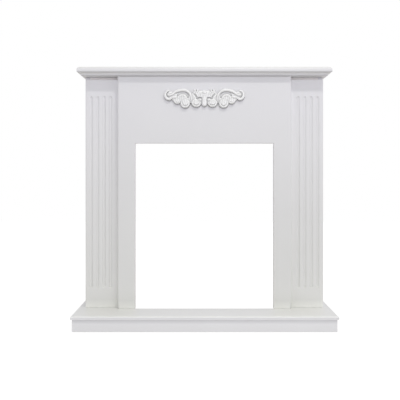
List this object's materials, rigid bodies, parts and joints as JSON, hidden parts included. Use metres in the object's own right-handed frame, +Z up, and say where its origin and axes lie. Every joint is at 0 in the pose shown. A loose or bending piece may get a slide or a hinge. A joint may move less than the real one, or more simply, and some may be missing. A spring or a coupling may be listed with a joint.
{
  "type": "fireplace mantelpiece",
  "caption": "White painted fireplace surround with moulded shelf, fluted pilasters, scroll ornament on the frieze and a hearth slab on a plinth.",
  "frame": {"origin": "on the floor, in the middle of the whole footprint", "axes": "+Z up, the front faces -Y, +Y goes against the wall, +X to the right seen from the front"},
  "size_m": [0.944, 0.38, 0.95],
  "materials": {
    "board_paint": "satin white paint on smooth fibreboard",
    "inner_paint": "thin matt white paint on fibreboard, hidden sides",
    "ornament_paint": "satin white paint on a cast ornament"
  },
  "bodies": {
    "root": {"mantel_shelf": "board_paint", "shelf_cornice": "board_paint", "front_panel": "board_paint", "pilaster_left": "board_paint", "pilaster_right": "board_paint", "side_panel_left": "board_paint", "side_panel_right": "board_paint", "niche_cheek_left": "inner_paint", "niche_cheek_right": "inner_paint", "top_rail": "inner_paint", "hearth_slab": "board_paint", "plinth_front": "board_paint", "plinth_left": "board_paint", "plinth_right": "board_paint", "scroll_ornament": "ornament_paint"}
  },
  "joints": []
}
